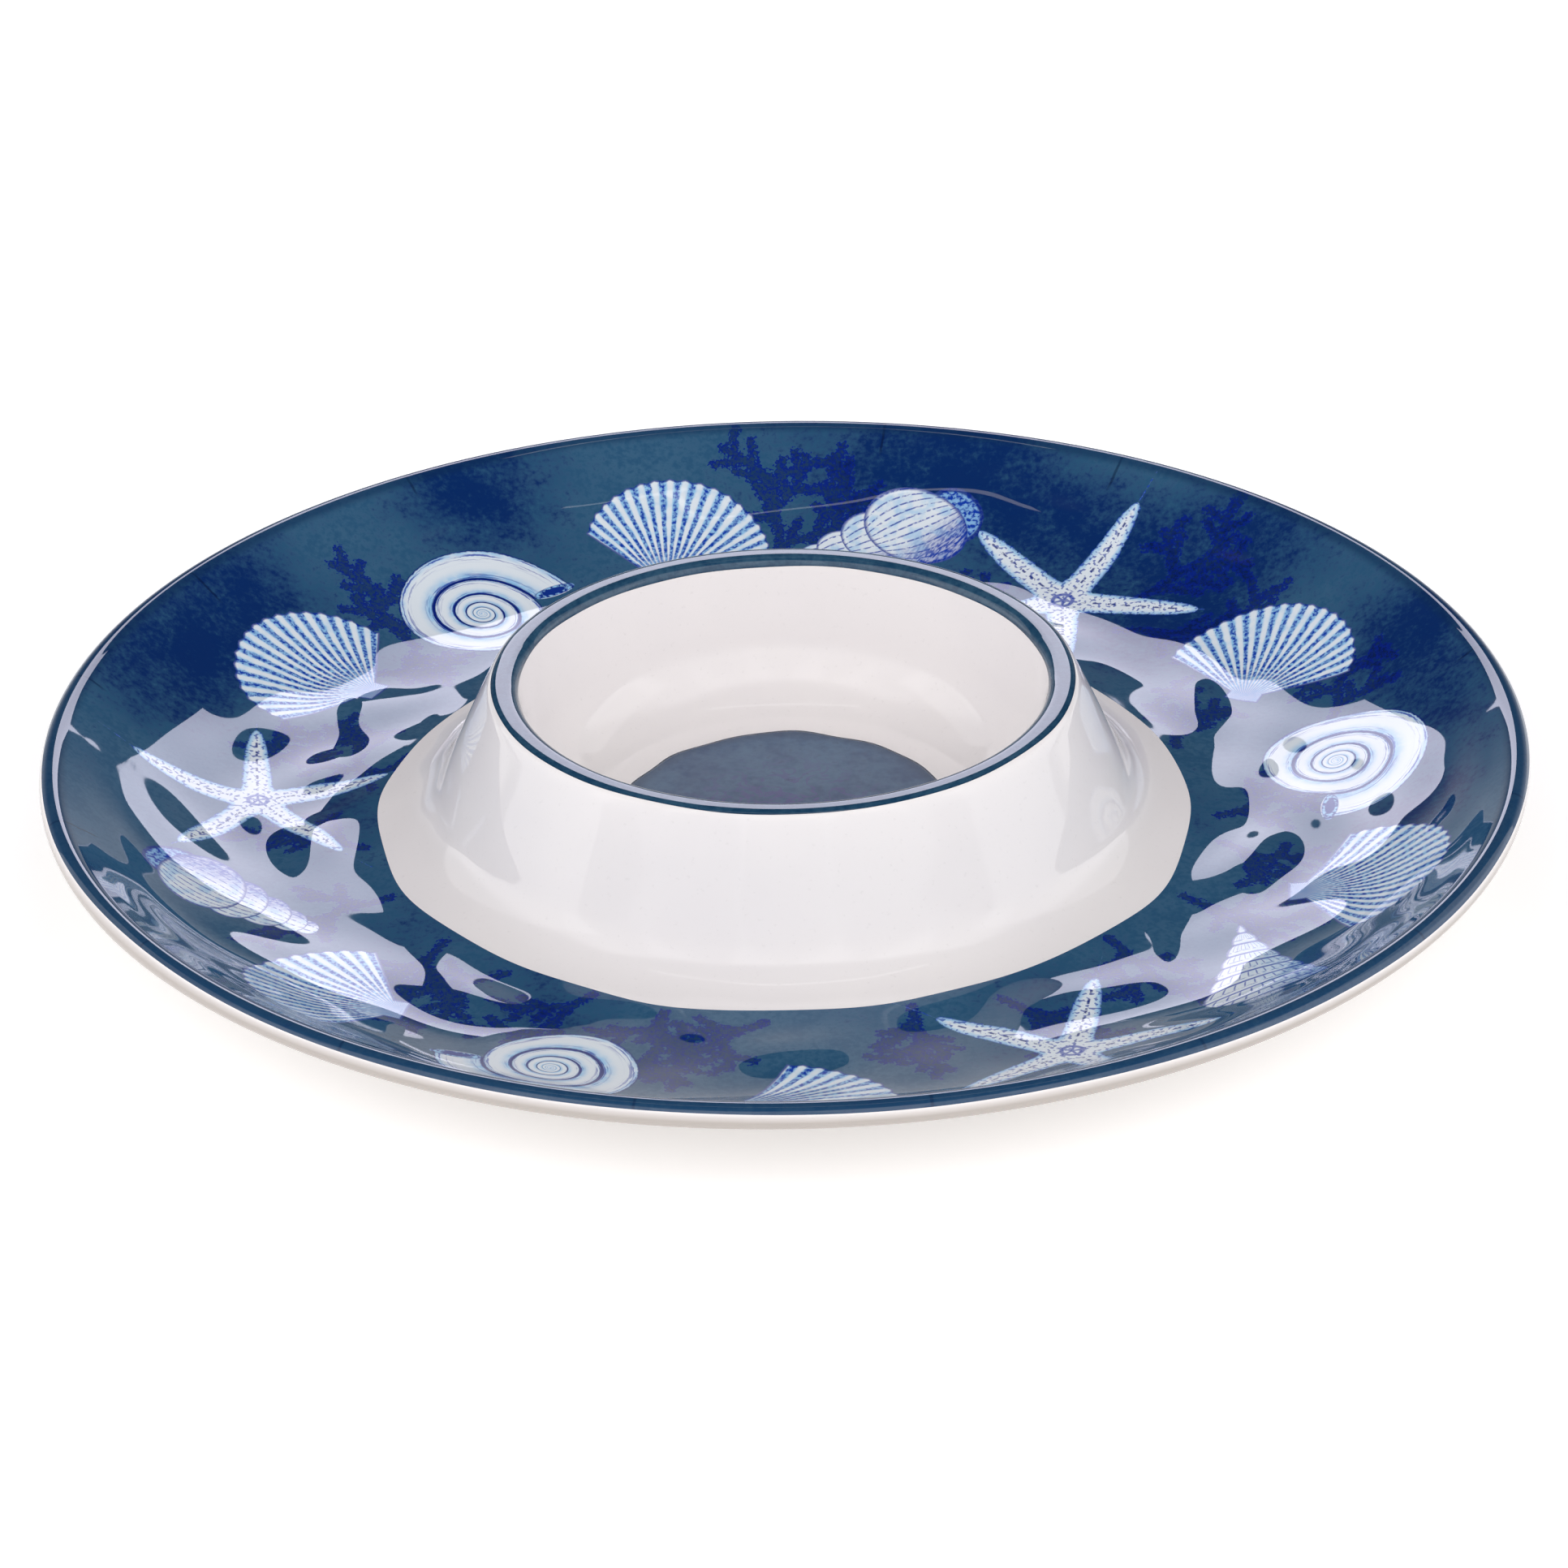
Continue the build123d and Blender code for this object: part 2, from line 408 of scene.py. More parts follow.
class Field:
    """A shader value that plain arithmetic works on: each operation adds one Math node."""

    def __init__(self, tree, socket):
        self.tree, self.socket = tree, socket

    def math(self, operation, *others, swap=False):
        """Math node of this value and then the others, or the other way round when swapped."""
        node = self.tree.nodes.new("ShaderNodeMath")
        node.operation = operation
        terms = (*others, self) if swap else (self, *others)
        for slot, term in zip(node.inputs, terms):
            if isinstance(term, Field):
                self.tree.links.new(term.socket, slot)
            else:
                slot.default_value = term
        return Field(self.tree, node.outputs[0])

    def __add__(self, other):
        return self.math("ADD", other)

    __radd__ = __add__

    def __mul__(self, other):
        return self.math("MULTIPLY", other)

    __rmul__ = __mul__

    def __sub__(self, other):
        return self.math("SUBTRACT", other)

    def __rsub__(self, other):
        return self.math("SUBTRACT", other, swap=True)

    def __truediv__(self, other):
        return self.math("DIVIDE", other)

    def __abs__(self):
        return self.math("ABSOLUTE")

    def power(self, other):
        return self.math("POWER", other)

    def sine(self):
        return self.math("SINE")

    def fraction(self):
        return self.math("FRACT")

    def both(self, other):
        return self.math("MINIMUM", other)

    def either(self, other):
        return self.math("MAXIMUM", other)

    def ramp(self, low, high):
        """0 at or below low, 1 at or above high, and a smooth step between; low may be the larger."""
        node = self.tree.nodes.new("ShaderNodeMapRange")
        node.interpolation_type = "SMOOTHSTEP"
        for slot, term in zip(("Value", "From Min", "From Max"), (self, low, high)):
            if isinstance(term, Field):
                self.tree.links.new(term.socket, node.inputs[slot])
            else:
                node.inputs[slot].default_value = term
        return Field(self.tree, node.outputs["Result"])

    def line(self, width):
        """1 where the value is near 0, fading out at this width."""
        return abs(self).ramp(width, width * 0.35)


def noise(tree, place, scale, detail=3.0, roughness=0.5, distortion=0.0):
    """Noise at a place, from 0 to 1 and mostly near 0.5, as a field."""
    node = tree.nodes.new("ShaderNodeTexNoise")
    node.inputs["Scale"].default_value = scale
    node.inputs["Detail"].default_value = detail
    node.inputs["Roughness"].default_value = roughness
    node.inputs["Distortion"].default_value = distortion
    tree.links.new(place, node.inputs["Vector"])
    return Field(tree, node.outputs[0])


def mix(tree, amount, under, over):
    """Colour over laid on colour under by this amount."""
    node = tree.nodes.new("ShaderNodeMix")
    node.data_type = "RGBA"
    tree.links.new(amount.socket, node.inputs[0])
    for slot, colour in ((6, under), (7, over)):
        if isinstance(colour, tuple):
            node.inputs[slot].default_value = colour
        else:
            tree.links.new(colour, node.inputs[slot])
    return node.outputs[2]


def glazed(name):
    """New material under the clear glaze: a soft base with a hard glossy coat. Returns it with its tree."""
    material = bpy.data.materials.new(name)
    material.use_nodes = True
    shader = material.node_tree.nodes["Principled BSDF"]
    shader.inputs["Roughness"].default_value = 0.45
    shader.inputs["Specular IOR Level"].default_value = 0.0
    shader.inputs["Coat Weight"].default_value = 1.0
    shader.inputs["Coat Roughness"].default_value = 0.025
    shader.inputs["Coat IOR"].default_value = 1.5
    return material, material.node_tree, shader


def object_place(tree):
    """The piece's own coordinates, in metres."""
    return tree.nodes.new("ShaderNodeTexCoord").outputs["Object"]


def point_value(tree, name):
    """A value stored at the mesh's points, as a field."""
    node = tree.nodes.new("ShaderNodeAttribute")
    node.attribute_name = name
    return Field(tree, node.outputs["Fac"])


white_melamine, tree, shader = glazed("white_melamine")
cloudiness = noise(tree, object_place(tree), 14.0, 4.0)
speckle = noise(tree, object_place(tree), 900.0, 2.0)
body_colour = mix(tree, cloudiness.ramp(0.35, 0.65), srgb(243, 238, 238), srgb(247, 242, 241))
body_colour = mix(tree, speckle.ramp(0.62, 0.8) * 0.25, body_colour, srgb(218, 213, 212))
# Painted shade: the lip and underside are mixed fully toward a darker warm grey.
body_colour = mix(tree, point_value(tree, "underside"), body_colour, srgb(184, 176, 170))
tree.links.new(body_colour, shader.inputs["Base Color"])
server_body.data.materials.append(white_melamine)
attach(server_body, "root")
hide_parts("server_body", "clear_glaze")

# ---------------------------------------------------------------------------------------------
# The chip well's print: one decorated paper foil, fused into the face from the foot of the cone,
# up the wall and over the rim. The artwork is drawn flat: a place on it is its distance out from
# the axis, measured along the face from the foil's inner edge, at its angle round the dish.
# ---------------------------------------------------------------------------------------------


def foil_shell(name, columns, places, under_columns):
    """Thin closed shell: the face at these arc lengths going out, then its back, a foil's depth under,
    coming in. Returns the piece and the arc length and angle of every point."""
    under = np.linspace(columns[-1], columns[0], under_columns)
    s = np.concatenate([columns, under])[:, None]
    depth = np.concatenate([np.zeros(len(columns)), np.full(under_columns, foil_depth)])[:, None]
    s, theta = np.broadcast_arrays(s, turns(places)[None, :])
    foil = round_mesh(name, face_points(s, theta, depth), True)
    foil.data.set_sharp_from_angle(angle=math.radians(50))
    return foil, s.reshape(-1), theta.reshape(-1)


def corner_points(mesh):
    """Point number of every face corner, four to a face."""
    points = np.empty(len(mesh.loops), np.int32)
    mesh.loops.foreach_get("vertex_index", points)
    return points.reshape(-1, 4)


def add_uv(mesh, name, places):
    """UV map with these two values at every face corner."""
    mesh.uv_layers.new(name=name).data.foreach_set("uv", np.asarray(places, np.float32).reshape(-1))


well_columns, well_places = 104, 720
well_foil, s, theta = foil_shell(
    "chip_well_print", np.linspace(well_inner_s, well_outer_s, well_columns), well_places, 32
)
well_mesh = well_foil.data
art_r = well_print_r + s - well_inner_s
art_edge_r = well_print_r + well_outer_s - well_inner_s
artwork = np.stack([art_r * np.cos(theta), art_r * np.sin(theta)], 1)
corners = corner_points(well_mesh)
on_back = (corners >= well_columns * well_places).any(1)

# Bake map: the artwork laid flat in the square, and the back of the foil in one of its corners.
bake_map = 0.5 + artwork[corners] * 0.49 / art_edge_r
bake_map[on_back] = 0.005 + (artwork[corners[on_back]] / art_edge_r + 1) * 0.06
add_uv(well_mesh, "OFBake", bake_map)
add_uv(well_mesh, "artwork", artwork[corners])

# Shells and starfish: kind, centre across and away (mm), heading (degrees) and size (mm).
motifs = [
    ("scallop", -128, 79, 155, 30),
    ("moon", -83, 115, 34, 28),
    ("scallop", -28.5, 154, 80, 28.5),
    ("whelk", 29, 152, 20, 28),
    ("starfish", 78, 118, 51.2, 39.5),
    ("scallop", 132, 76, 63, 29),
    ("moon", 145, 18, -100, 28.5),
    ("scallop", 148.5, -50.5, -5, 31),
    ("turret", 115, -90, 94.6, 22),
    ("starfish", 68, -127, 6, 37),
    ("scallop", 5.5, -157, 0, 30),
    ("moon", -57.5, -131, 170, 27.5),
    ("scallop", -114, -96.5, 168, 29.5),
    ("whelk", -140.5, -46.5, 150, 26),
    ("starfish", -137.7, 8.3, 22.8, 36),
]
kinds = ["ground", "scallop", "moon", "whelk", "starfish", "turret"]
motif_reach = 1.35

face_middle = artwork[corners].mean(1)
nearest = np.full(len(corners), motif_reach)
face_kind = np.zeros(len(corners), np.int32)
motif_map = np.zeros((len(corners), 4, 2))
for kind, across, away, heading, size in motifs:
    distance = np.linalg.norm(face_middle - (across, away), axis=1) / size
    closer = (distance < nearest) & ~on_back
    nearest[closer] = distance[closer]
    face_kind[closer] = kinds.index(kind)
    turn = math.radians(heading)
    frame_axes = np.array([[math.cos(turn), -math.sin(turn)], [math.sin(turn), math.cos(turn)]])
    motif_map[closer] = (artwork[corners[closer]] - (across, away)) @ frame_axes / size
add_uv(well_mesh, "motif", motif_map)
well_mesh.polygons.foreach_set("material_index", face_kind)


def coral_sprig(base, heading, height, chance):
    """Segments of one sprig. Each stem wanders over five steps and throws off stems half as long, by turns
    to either side, down to the second order."""
    stems = [(np.array(base, float), math.radians(heading), height, 0)]
    segments = []
    while stems:
        start, course, length, order = stems.pop()
        for step in range(5):
            course += chance.uniform(-0.25, 0.25)
            end = start + length / 5 * np.array([math.cos(course), math.sin(course)])
            segments.append((start, end))
            if order < 2 and step < 4:
                side = 1 if (step + order) % 2 else -1
                stems.append((end, course + side * chance.uniform(0.5, 0.95), length * 0.48, order + 1))
            start = end
    return segments


def distance_to_stems(points, segments, furthest):
    """Distance from each point to the nearest of these segments, no more than the furthest."""
    distance = np.full(len(points), furthest)
    low = np.min([np.minimum(a, b) for a, b in segments], axis=0) - furthest
    high = np.max([np.maximum(a, b) for a, b in segments], axis=0) + furthest
    near = np.flatnonzero(((points > low) & (points < high)).all(1))
    for a, b in segments:
        along = np.clip((points[near] - a) @ (b - a) / ((b - a) @ (b - a)), 0, 1)
        gap = np.linalg.norm(points[near] - a - along[:, None] * (b - a), axis=1)
        distance[near] = np.minimum(distance[near], gap)
    return distance


# Coral sprigs behind the shells: base across and away (mm), heading (degrees) and height (mm).
sprigs = [
    ((-100, 96), 140, 30),
    ((-112, 80), 20, 22),
    ((-2, 142), 82, 40),
    ((96, 112), 35, 36),
    ((92, 100), -5, 38),
    ((66, 118), 170, 24),
    ((14, 150), 100, 26),
    ((146, 40), 60, 30),
    ((104, 30), 80, 30),
    ((112, -8), 40, 28),
    ((112, -22), -60, 34),
    ((100, -50), -30, 34),
    ((80, -72), -60, 30),
    ((52, -100), -35, 30),
    ((30, -104), -80, 26),
    ((-6, -110), 200, 30),
    ((-30, -104), -100, 30),
    ((-48, -96), 215, 34),
    ((-70, -84), 190, 32),
    ((-86, -68), 240, 34),
    ((-100, -44), 200, 34),
    ((-108, -18), 150, 30),
    ((-108, 14), 110, 32),
    ((-146, 36), 20, 26),
]
chance = np.random.default_rng(11)
furthest_gap = 8.0
coral_gap = np.full(len(artwork), furthest_gap)
for base, heading, height in sprigs:
    segments = coral_sprig(base, heading, height, chance)
    coral_gap = np.minimum(coral_gap, distance_to_stems(artwork, segments, furthest_gap))
add_values(well_mesh, "coral_gap", coral_gap)

# Deep navy pools in the watercolour wash: across and away (mm), radius (mm) and strength.
navy_pools = [
    (-168, 62, 30, 0.75),
    (-150, 100, 24, 0.7),
    (-92, 160, 26, 0.8),
    (44, 178, 34, 1.0),
    (84, 140, 24, 0.6),
    (128, 122, 30, 0.8),
    (172, 60, 26, 0.8),
    (180, 18, 22, 0.5),
    (166, -26, 20, 0.6),
    (-90, -64, 24, 0.35),
    (-54, -100, 26, 0.35),
    (60, -90, 26, 0.3),
    (110, -6, 20, 0.3),
    (-112, 0, 22, 0.35),
    (100, 100, 24, 0.6),
]
wash = np.zeros(len(artwork))
for across, away, radius, strength in navy_pools:
    wash += strength * np.exp(-np.sum((artwork - (across, away)) ** 2, axis=1) / radius**2)
add_values(well_mesh, "wash", wash)

# Inks of the print.
navy = srgb(2, 38, 98)
deep_navy = srgb(4, 14, 70)
slate_teal = srgb(44, 86, 120)
pale_teal = srgb(70, 108, 136)
cobalt = srgb(18, 60, 170)
light_blue = srgb(150, 200, 236)
shell_white = srgb(228, 236, 243)


def uv_field(tree, name):
    """The two values of a UV map, as fields, and the map itself as a place."""
    node = tree.nodes.new("ShaderNodeUVMap")
    node.uv_map = name
    split = tree.nodes.new("ShaderNodeSeparateXYZ")
    tree.links.new(node.outputs[0], split.inputs[0])
    return Field(tree, split.outputs[0]), Field(tree, split.outputs[1]), node.outputs[0]


def place_of(tree, across, along):
    """Two fields as one place, for a noise to read."""
    node = tree.nodes.new("ShaderNodeCombineXYZ")
    tree.links.new(across.socket, node.inputs[0])
    tree.links.new(along.socket, node.inputs[1])
    return node.outputs[0]


def watercolour(tree):
    """Slate teal wash that pools into navy where noise and the stored pools add up, with coral where the
    gap to a stem is small, a dark line in each sector at the rim, painted shade of a short crease in the
    foil, and a darker rim."""
    across, away, place = uv_field(tree, "artwork")
    broad = noise(tree, place, 0.02, 4.0, 0.6)
    cloud = noise(tree, place, 0.11, 5.0, 0.62)
    grain = noise(tree, place, 0.55, 4.0, 0.6)
    pooled = point_value(tree, "wash") + (broad - 0.5) * 1.6 + (cloud - 0.5) * 1.2 + (grain - 0.5) * 1.5
    colour = mix(tree, (cloud * 0.45 + grain * 0.55).ramp(0.41, 0.60) * 0.6, slate_teal, pale_teal)
    colour = mix(tree, pooled.ramp(0.05, 0.95) * 0.95, colour, navy)

    lobes = noise(tree, place, 0.95, 2.0)
    coral = point_value(tree, "coral_gap") + (lobes - 0.5) * 4.6
    inside = coral.ramp(1.5, 0.9)
    outline = (coral - 1.15).line(0.5)
    squiggle = (lobes - 0.5 + (grain - 0.5) * 0.2).line(0.035) * inside
    colour = mix(tree, inside * 0.55, colour, deep_navy)
    colour = mix(tree, outline.either(squiggle) * 0.9, colour, srgb(8, 34, 132))

    sector_width = math.radians(22.5)
    turn = away.math("ARCTAN2", across)
    sector = turn / sector_width + (cloud - 0.5) * 0.02
    chooser = tree.nodes.new("ShaderNodeTexWhiteNoise")
    chooser.noise_dimensions = "1D"
    tree.links.new(sector.math("FLOOR").socket, chooser.inputs["W"])
    luck = Field(tree, chooser.outputs["Value"])
    out = (across * across + away * away).math("SQRT")
    offset = (sector.fraction() - 0.35 - luck * 0.3) * (sector_width * 185)
    # Painted shade: a near-black line across the print near the rim, one to a sector, for the shade in a
    # short crease of the foil.
    crease_painted_shade = offset.line(0.55) * (out - (art_edge_r - 5.0) + luck * 14.0).ramp(0.0, 4.0)
    colour = mix(tree, crease_painted_shade * 0.55, colour, srgb(6, 18, 48))
    return mix(tree, out.ramp(art_edge_r - 9.0, art_edge_r - 6.0) * 0.6, colour, srgb(14, 46, 84))


def ink(tree, colour, amount, shade):
    """Colour with this much of a shade laid on it."""
    return mix(tree, amount.both(1.0).either(0.0), colour, shade)


def finish_print(material, tree, shader, colour):
    """Joins the printed colour to the shader, and returns the material."""
    tree.links.new(colour, shader.inputs["Base Color"])
    return material


def ground_material():
    """The plain wash between the shells."""
    material, tree, shader = glazed("well_print_ground")
    return finish_print(material, tree, shader, watercolour(tree))


def scallop_material():
    """Scallop: a fan of ribs from a hinge at (-0.65, 0). The rib number goes with the angle at the hinge,
    and the edge is an arc that dips between ribs."""
    material, tree, shader = glazed("well_print_scallop")
    u, v = uv_field(tree, "motif")[:2]
    art = uv_field(tree, "artwork")[2]
    rough = noise(tree, art, 0.9, 3.0)
    tint = noise(tree, art, 0.25, 3.0)
    spread, ribs = 1.12, 19
    from_hinge = u + 0.65
    angle = v.math("ARCTAN2", from_hinge) + (tint - 0.5) * 0.02
    reach = (from_hinge * from_hinge + v * v).math("SQRT")
    rib = angle * (ribs / (2 * spread))
    groove = abs((rib + 0.5).fraction() - 0.5)
    edge = 1.36 - angle * angle * (0.34 / spread**2) - (0.5 - groove) * 0.05 + (rough - 0.5) * 0.02
    margin = (edge - reach).both((spread - abs(angle)) * reach)
    ears = (0.17 - abs(v)).both(0.10 - abs(from_hinge - 0.04))
    shape = margin.either(ears + (rough - 0.5) * 0.02)
    shadow = (tint * 0.7 + groove.ramp(0.42, 0.05) * 0.55).ramp(0.30, 0.80)
    colour = mix(tree, shadow, shell_white, light_blue)
    width = groove * reach * (2 * spread / ribs)
    off_hinge = reach.ramp(0.12, 0.5)
    groove_line = width.ramp(0.026, 0.008) * (rough.ramp(0.30, 0.62) * off_hinge)
    rib_hatch = (groove - 0.18).line(0.07) * rough.ramp(0.46, 0.58) * off_hinge
    edge_hatch = (edge - reach).ramp(0.22, 0.02) * rough.ramp(0.52, 0.66) * groove.ramp(0.4, 0.1)
    colour = ink(tree, colour, groove_line, cobalt)
    colour = ink(tree, colour, rib_hatch * 0.8, cobalt)
    colour = ink(tree, colour, edge_hatch, cobalt)
    colour = ink(tree, colour, reach.ramp(0.34, 0.1) * 0.45, cobalt)
    colour = ink(tree, colour, shape.ramp(0.030, 0.008) * 0.9, srgb(16, 44, 140))
    colour = mix(tree, shape.ramp(-0.006, 0.006), watercolour(tree), colour)
    return finish_print(material, tree, shader, colour)


def moon_material():
    """Moon snail: a logarithmic spiral. The whorl number grows by one each turn and each 1.72-fold step in,
    and the mouth is an ellipse at the end of the last whorl."""
    material, tree, shader = glazed("well_print_moon_snail")
    u, v = uv_field(tree, "motif")[:2]
    art = uv_field(tree, "artwork")[2]
    rough = noise(tree, art, 0.8, 3.0)
    growth, widest = math.log(1.72), 1.04
    reach = (u * u + v * v).math("SQRT")
    around = (v.math("ARCTAN2", u) / (2 * math.pi)).fraction()
    whorl = (reach.either(0.02) / widest).math("LOGARITHM", math.e) * (-1.0 / growth) - around
    whorl = whorl + (rough - 0.5) * 0.05
    across = whorl.fraction()
    streak = noise(tree, place_of(tree, whorl * 16.0, around * 9.0), 1.0, 2.0)
    patchy = noise(tree, art, 0.3, 3.0).ramp(0.35, 0.6)
    colour = mix(tree, across.ramp(0.45, 0.92) * (0.55 + patchy * 0.45), shell_white, light_blue)
    colour = ink(tree, colour, across.ramp(0.22, 0.02) * (0.35 + patchy * 0.5), light_blue)
    colour = ink(tree, colour, across.ramp(0.86, 1.0) * 0.6, cobalt)
    side_streaks = streak.ramp(0.51, 0.60) * abs(across - 0.5).ramp(0.12, 0.40)
    colour = ink(tree, colour, side_streaks * reach.ramp(0.1, 0.3) * 0.85, cobalt)
    suture = (0.5 - abs(across - 0.5)) * reach * growth
    fine = reach.both(0.4) / 0.4
    suture_line = (suture - fine * 0.010).ramp(fine * 0.016, 0.0) * reach.ramp(0.02, 0.14)
    colour = ink(tree, colour, suture_line, srgb(10, 34, 120))
    mouth = ((u - 0.84) * (u - 0.84) * 18.0 + (v - 0.01) * (v - 0.01) * 150.0).math("SQRT")
    colour = ink(tree, colour, mouth.ramp(1.0, 0.85), srgb(16, 50, 140))
    colour = ink(tree, colour, (mouth - 0.72).line(0.22) * rough.ramp(0.4, 0.6), light_blue)
    shape = whorl.ramp(-0.01, 0.03).either(mouth.ramp(1.04, 0.98))
    colour = mix(tree, shape, watercolour(tree), colour)
    return finish_print(material, tree, shader, colour)


def whelk_material():
    """Whelk: five overlapping ellipses in a row from the tip to the body, each with ribs along the shell
    and hatched shade on one side, over the ellipse of its lip."""
    material, tree, shader = glazed("well_print_whelk")
    u, v = uv_field(tree, "motif")[:2]
    art = uv_field(tree, "artwork")[2]
    rough = noise(tree, art, 0.8, 3.0)
    tint = noise(tree, art, 0.22, 3.0)
    colour = watercolour(tree)
    lip = ((u - 0.76) * (u - 0.76) * 11.0 + (v + 0.06) * (v + 0.06) * 7.0).math("SQRT")
    lip = lip + (rough - 0.5) * 0.1
    mouth = mix(tree, rough.ramp(0.40, 0.60) * 0.8, srgb(20, 60, 170), light_blue)
    mouth = ink(tree, mouth, (lip - 0.93).line(0.12) * 0.9, srgb(16, 40, 130))
    colour = mix(tree, lip.ramp(1.0, 0.95), colour, mouth)
    for middle, length, breadth in (
        (-0.88, 0.13, 0.13),
        (-0.66, 0.21, 0.22),
        (-0.38, 0.29, 0.32),
        (-0.04, 0.34, 0.44),
        (0.36, 0.47, 0.56),
    ):
        along = (u - middle + v * 0.18) / length
        beside = v / breadth
        round_off = (along * along + beside * beside).math("SQRT") + (rough - 0.5) * 0.03
        rib = beside / (1.06 - along * along * 0.45).either(0.3) * (breadth * 11.0)
        line = (rib.fraction() - 0.5).line(0.16) * rough.ramp(0.34, 0.55)
        shell = mix(tree, tint.ramp(0.42, 0.66) * 0.6, shell_white, light_blue)
        shell = ink(tree, shell, line * 0.85, cobalt)
        hatch = noise(tree, place_of(tree, u * 10.0 + v * 8.0, v * 34.0 - u * 20.0), 1.0, 1.0)
        shade = (beside * -1.0 + along * 0.25).ramp(0.05, 0.75) * (0.45 + hatch.ramp(0.4, 0.6) * 0.5)
        shell = ink(tree, shell, shade, cobalt)
        shell = ink(tree, shell, round_off.ramp(0.90, 0.985) * 0.85, srgb(20, 50, 150))
        colour = mix(tree, round_off.ramp(1.01, 0.985), colour, shell)
    return finish_print(material, tree, shader, colour)


def starfish_material():
    """Starfish: the angle is folded into fifths, so that one tapered arm, with a dashed line along it
    and dots, makes all five."""
    material, tree, shader = glazed("well_print_starfish")
    u, v = uv_field(tree, "motif")[:2]
    art = uv_field(tree, "artwork")[2]
    rough = noise(tree, art, 0.7, 2.0)
    dots = noise(tree, art, 0.95, 0.0)
    angle = ((v.math("ARCTAN2", u) / math.radians(72) + 0.5).fraction() - 0.5) * math.radians(72)
    reach = (u * u + v * v).math("SQRT")
    along = reach * angle.math("COSINE")
    across = reach * angle.sine()
    taper = (1.0 - along.power(4.0)).either(0.0).power(0.5)
    width = taper * (0.116 - along * 0.026) + along.ramp(0.26, 0.0) * 0.05 + (rough - 0.5) * 0.05
    margin = width - abs(across)
    colour = mix(tree, margin.ramp(0.055, 0.01) * 0.85, shell_white, light_blue)
    colour = ink(tree, colour, dots.ramp(0.57, 0.66) * 0.75, srgb(30, 70, 170))
    dash = ((along * 9.0).fraction() - 0.5).ramp(0.1, 0.0)
    on_arm = along.ramp(0.12, 0.18) * along.ramp(0.92, 0.85)
    dashes = across.line(0.013) * dash * rough.ramp(0.36, 0.5) * on_arm
    colour = ink(tree, colour, dashes * 0.9, srgb(20, 44, 128))
    star = (reach - 0.07).line(0.022).either(across.line(0.014) * along.ramp(0.12, 0.1))
    colour = ink(tree, colour, star * 0.8, cobalt)
    colour = ink(tree, colour, margin.ramp(0.02, 0.0) * rough.ramp(0.35, 0.6), cobalt)
    colour = mix(tree, margin.ramp(-0.006, 0.006), watercolour(tree), colour)
    return finish_print(material, tree, shader, colour)


def turret_material():
    """Turret shell: a cone of beaded bands from its base at -1 to its tip at 1."""
    material, tree, shader = glazed("well_print_turret")
    u, v = uv_field(tree, "motif")[:2]
    art = uv_field(tree, "artwork")[2]
    rough = noise(tree, art, 0.9, 2.0)
    slant = u + v * v * 0.35 + v * 0.12
    band = (slant + 1.0) * 4.2
    step = band.fraction()
    half = (1.04 - u) * 0.38 + (step * (1.0 - step)) * 0.16
    base = (1.05 + u - v * v * 0.25)
    margin = (half - abs(v)).both(base) + (rough - 0.5) * 0.03
    bead = ((v / half.either(0.05)) * 5.0 + band.math("FLOOR") * 0.5).fraction()
    colour = mix(tree, (v * -0.6 + rough * 0.6).ramp(0.1, 0.8), shell_white, light_blue)
    colour = ink(tree, colour, (0.5 - abs(step - 0.5)).ramp(0.12, 0.03) * 0.9, cobalt)
    colour = ink(tree, colour, (step - 0.35).line(0.06) * rough.ramp(0.4, 0.55) * 0.7, cobalt)
    colour = ink(tree, colour, (bead - 0.5).line(0.13) * (step - 0.65).line(0.36) * 0.75, cobalt)
    colour = ink(tree, colour, (v * -1.0).ramp(0.1, 0.6) * rough.ramp(0.38, 0.62) * 0.6, cobalt)
    colour = ink(tree, colour, margin.ramp(0.04, 0.01) * 0.8, srgb(20, 50, 150))
    colour = mix(tree, margin.ramp(-0.008, 0.008), watercolour(tree), colour)
    return finish_print(material, tree, shader, colour)


# In the order of the kinds.
for make in (ground_material, scallop_material, moon_material, whelk_material,
             starfish_material, turret_material):
    well_mesh.materials.append(make())
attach(well_foil, "root")
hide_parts("chip_well_foil")

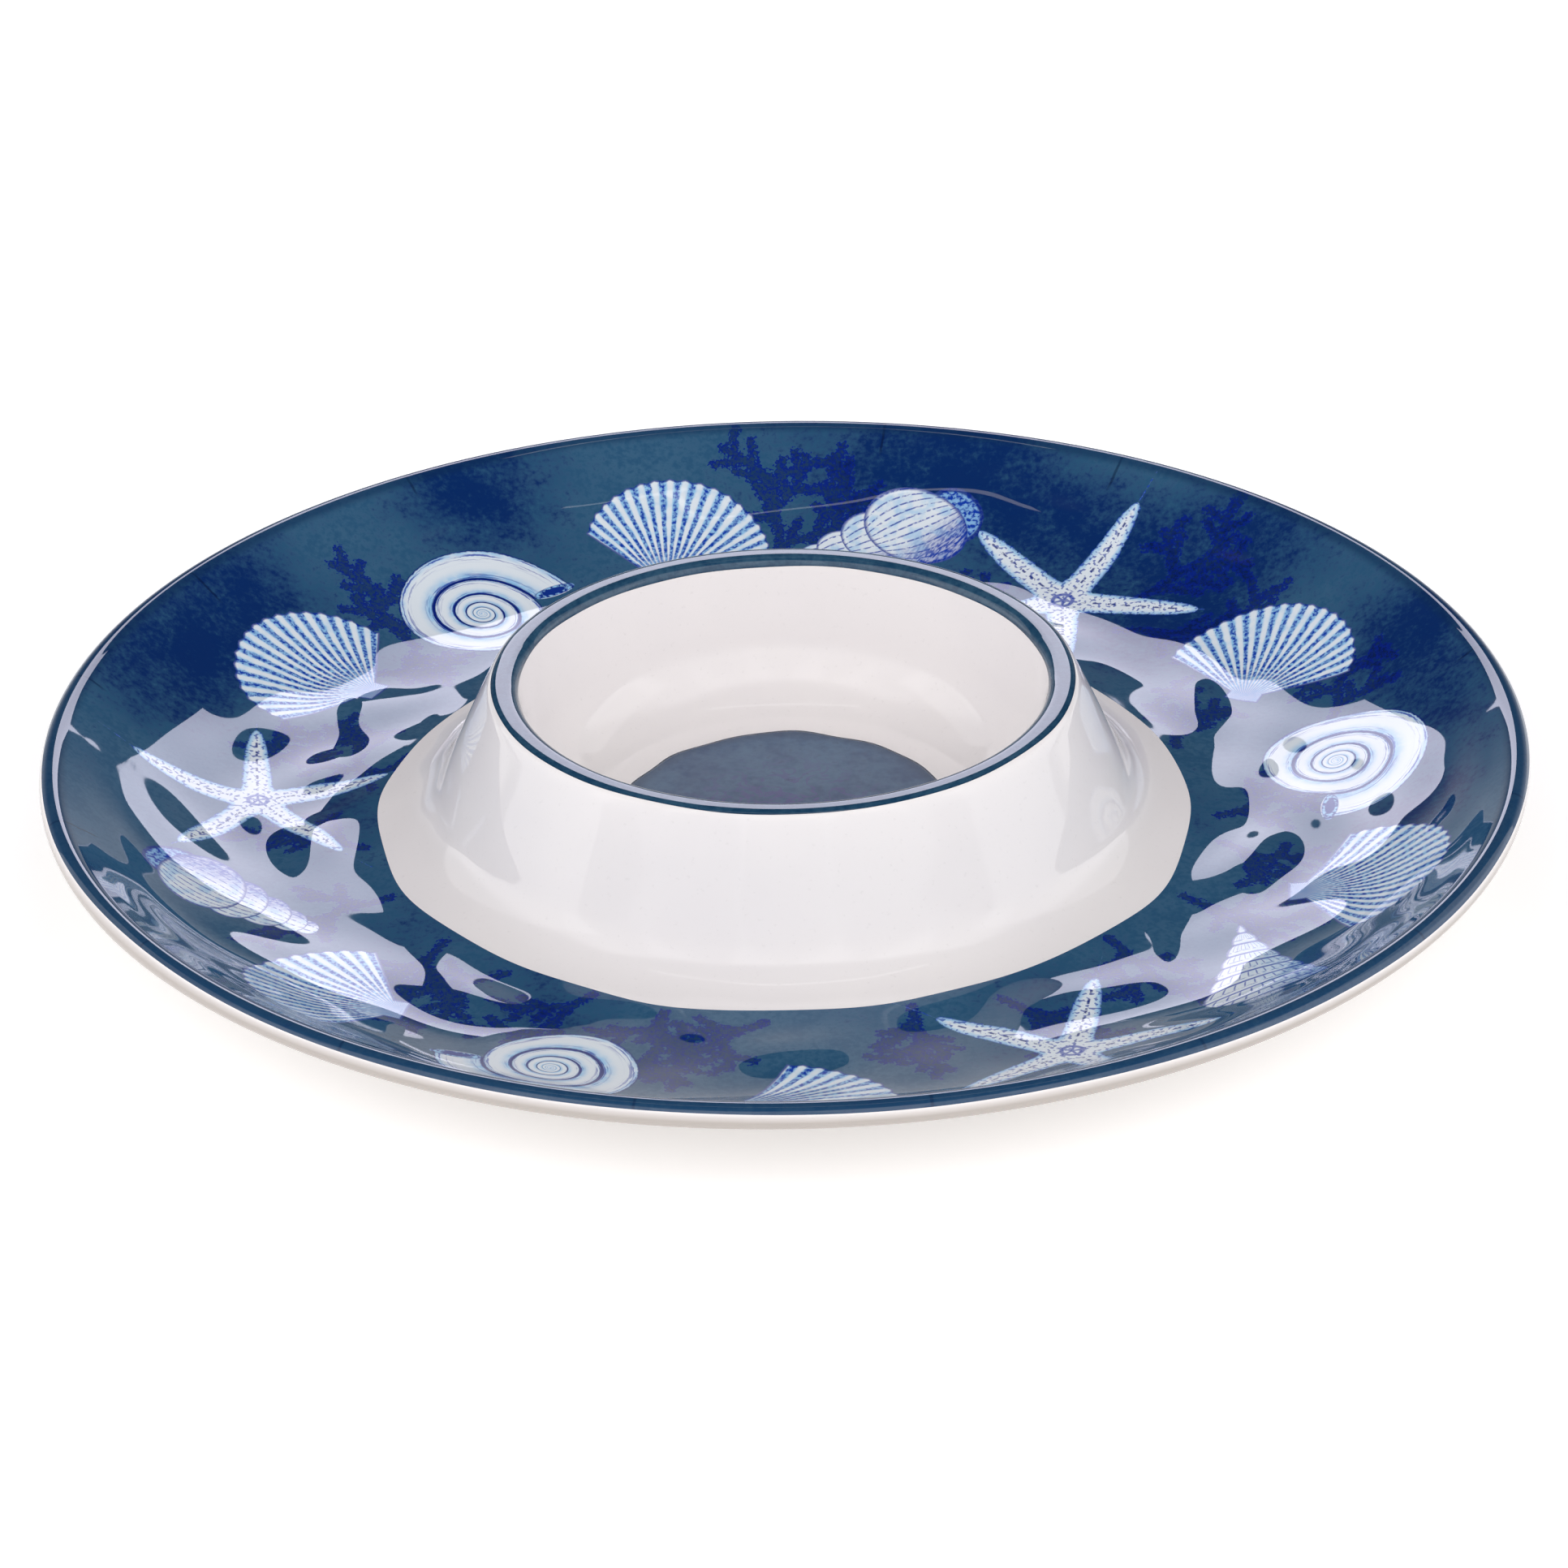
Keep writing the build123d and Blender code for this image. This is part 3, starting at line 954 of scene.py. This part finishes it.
# ---------------------------------------------------------------------------------------------
# The dip bowl's band: a narrow ring of foil wrapped over the crest of the bowl, plain slate teal
# with the grain of the paper.
# ---------------------------------------------------------------------------------------------
dip_band, s, _ = foil_shell("dip_rim_print", np.linspace(band_inner_s, band_outer_s, 26), 420, 4)
band_print, tree, shader = glazed("rim_print")
place = object_place(tree)
grain = noise(tree, place, 420.0, 5.0, 0.65)
cloud = noise(tree, place, 60.0, 4.0, 0.6)
add_values(dip_band.data, "across", (s - band_inner_s) / (band_outer_s - band_inner_s))
colour = mix(tree, (grain * 0.6 + cloud * 0.4).ramp(0.38, 0.64), srgb(24, 62, 92), srgb(50, 86, 112))
colour = mix(tree, grain.ramp(0.58, 0.72) * 0.7, colour, srgb(22, 50, 84))
border = abs(point_value(tree, "across") - 0.5).ramp(0.42, 0.49)
colour = mix(tree, border * 0.6, colour, srgb(22, 56, 84))
dip_band.data.materials.append(finish_print(band_print, tree, shader, colour))
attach(dip_band, "root")
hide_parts("dip_rim_foil")

# ---------------------------------------------------------------------------------------------
# The dip floor's print: a round foil on the flat bottom of the bowl, blue-green with a faint
# violet sprig of coral and a darker border.
# ---------------------------------------------------------------------------------------------
disc_face = np.broadcast_arrays(np.linspace(0, dip_print_s, 45)[:, None], turns(300)[None, :])
disc_back = np.broadcast_arrays(np.linspace(dip_print_s, 0, 4)[:, None], turns(300)[None, :])
dip_disc = round_mesh(
    "dip_floor_print",
    np.concatenate([face_points(*disc_face, 0.0), face_points(*disc_back, foil_depth)]),
    False,
)
close_poles(dip_disc)
disc_print, tree, shader = glazed("dip_print")
place = object_place(tree)
grain = noise(tree, place, 300.0, 5.0, 0.62)
cloud = noise(tree, place, 45.0, 4.0, 0.6)
frond = noise(tree, place, 130.0, 2.0, 0.5, 1.2)
split = tree.nodes.new("ShaderNodeSeparateXYZ")
tree.links.new(place, split.inputs[0])
across, away = Field(tree, split.outputs[0]), Field(tree, split.outputs[1])
out = (across * across + away * away).math("SQRT") * 1000.0
colour = mix(tree, (cloud * 0.6 + grain * 0.4).ramp(0.36, 0.64), srgb(34, 68, 110), srgb(68, 102, 134))
colour = mix(tree, (frond - 0.5).line(0.05) * out.ramp(34.0, 10.0) * 0.65, colour, srgb(70, 64, 128))
colour = mix(tree, grain.ramp(0.56, 0.74) * 0.5, colour, srgb(24, 48, 92))
colour = mix(tree, out.ramp(37.0, 41.0) * 0.55, colour, srgb(20, 52, 86))
dip_disc.data.materials.append(finish_print(disc_print, tree, shader, colour))
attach(dip_disc, "root")
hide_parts("dip_floor_foil")
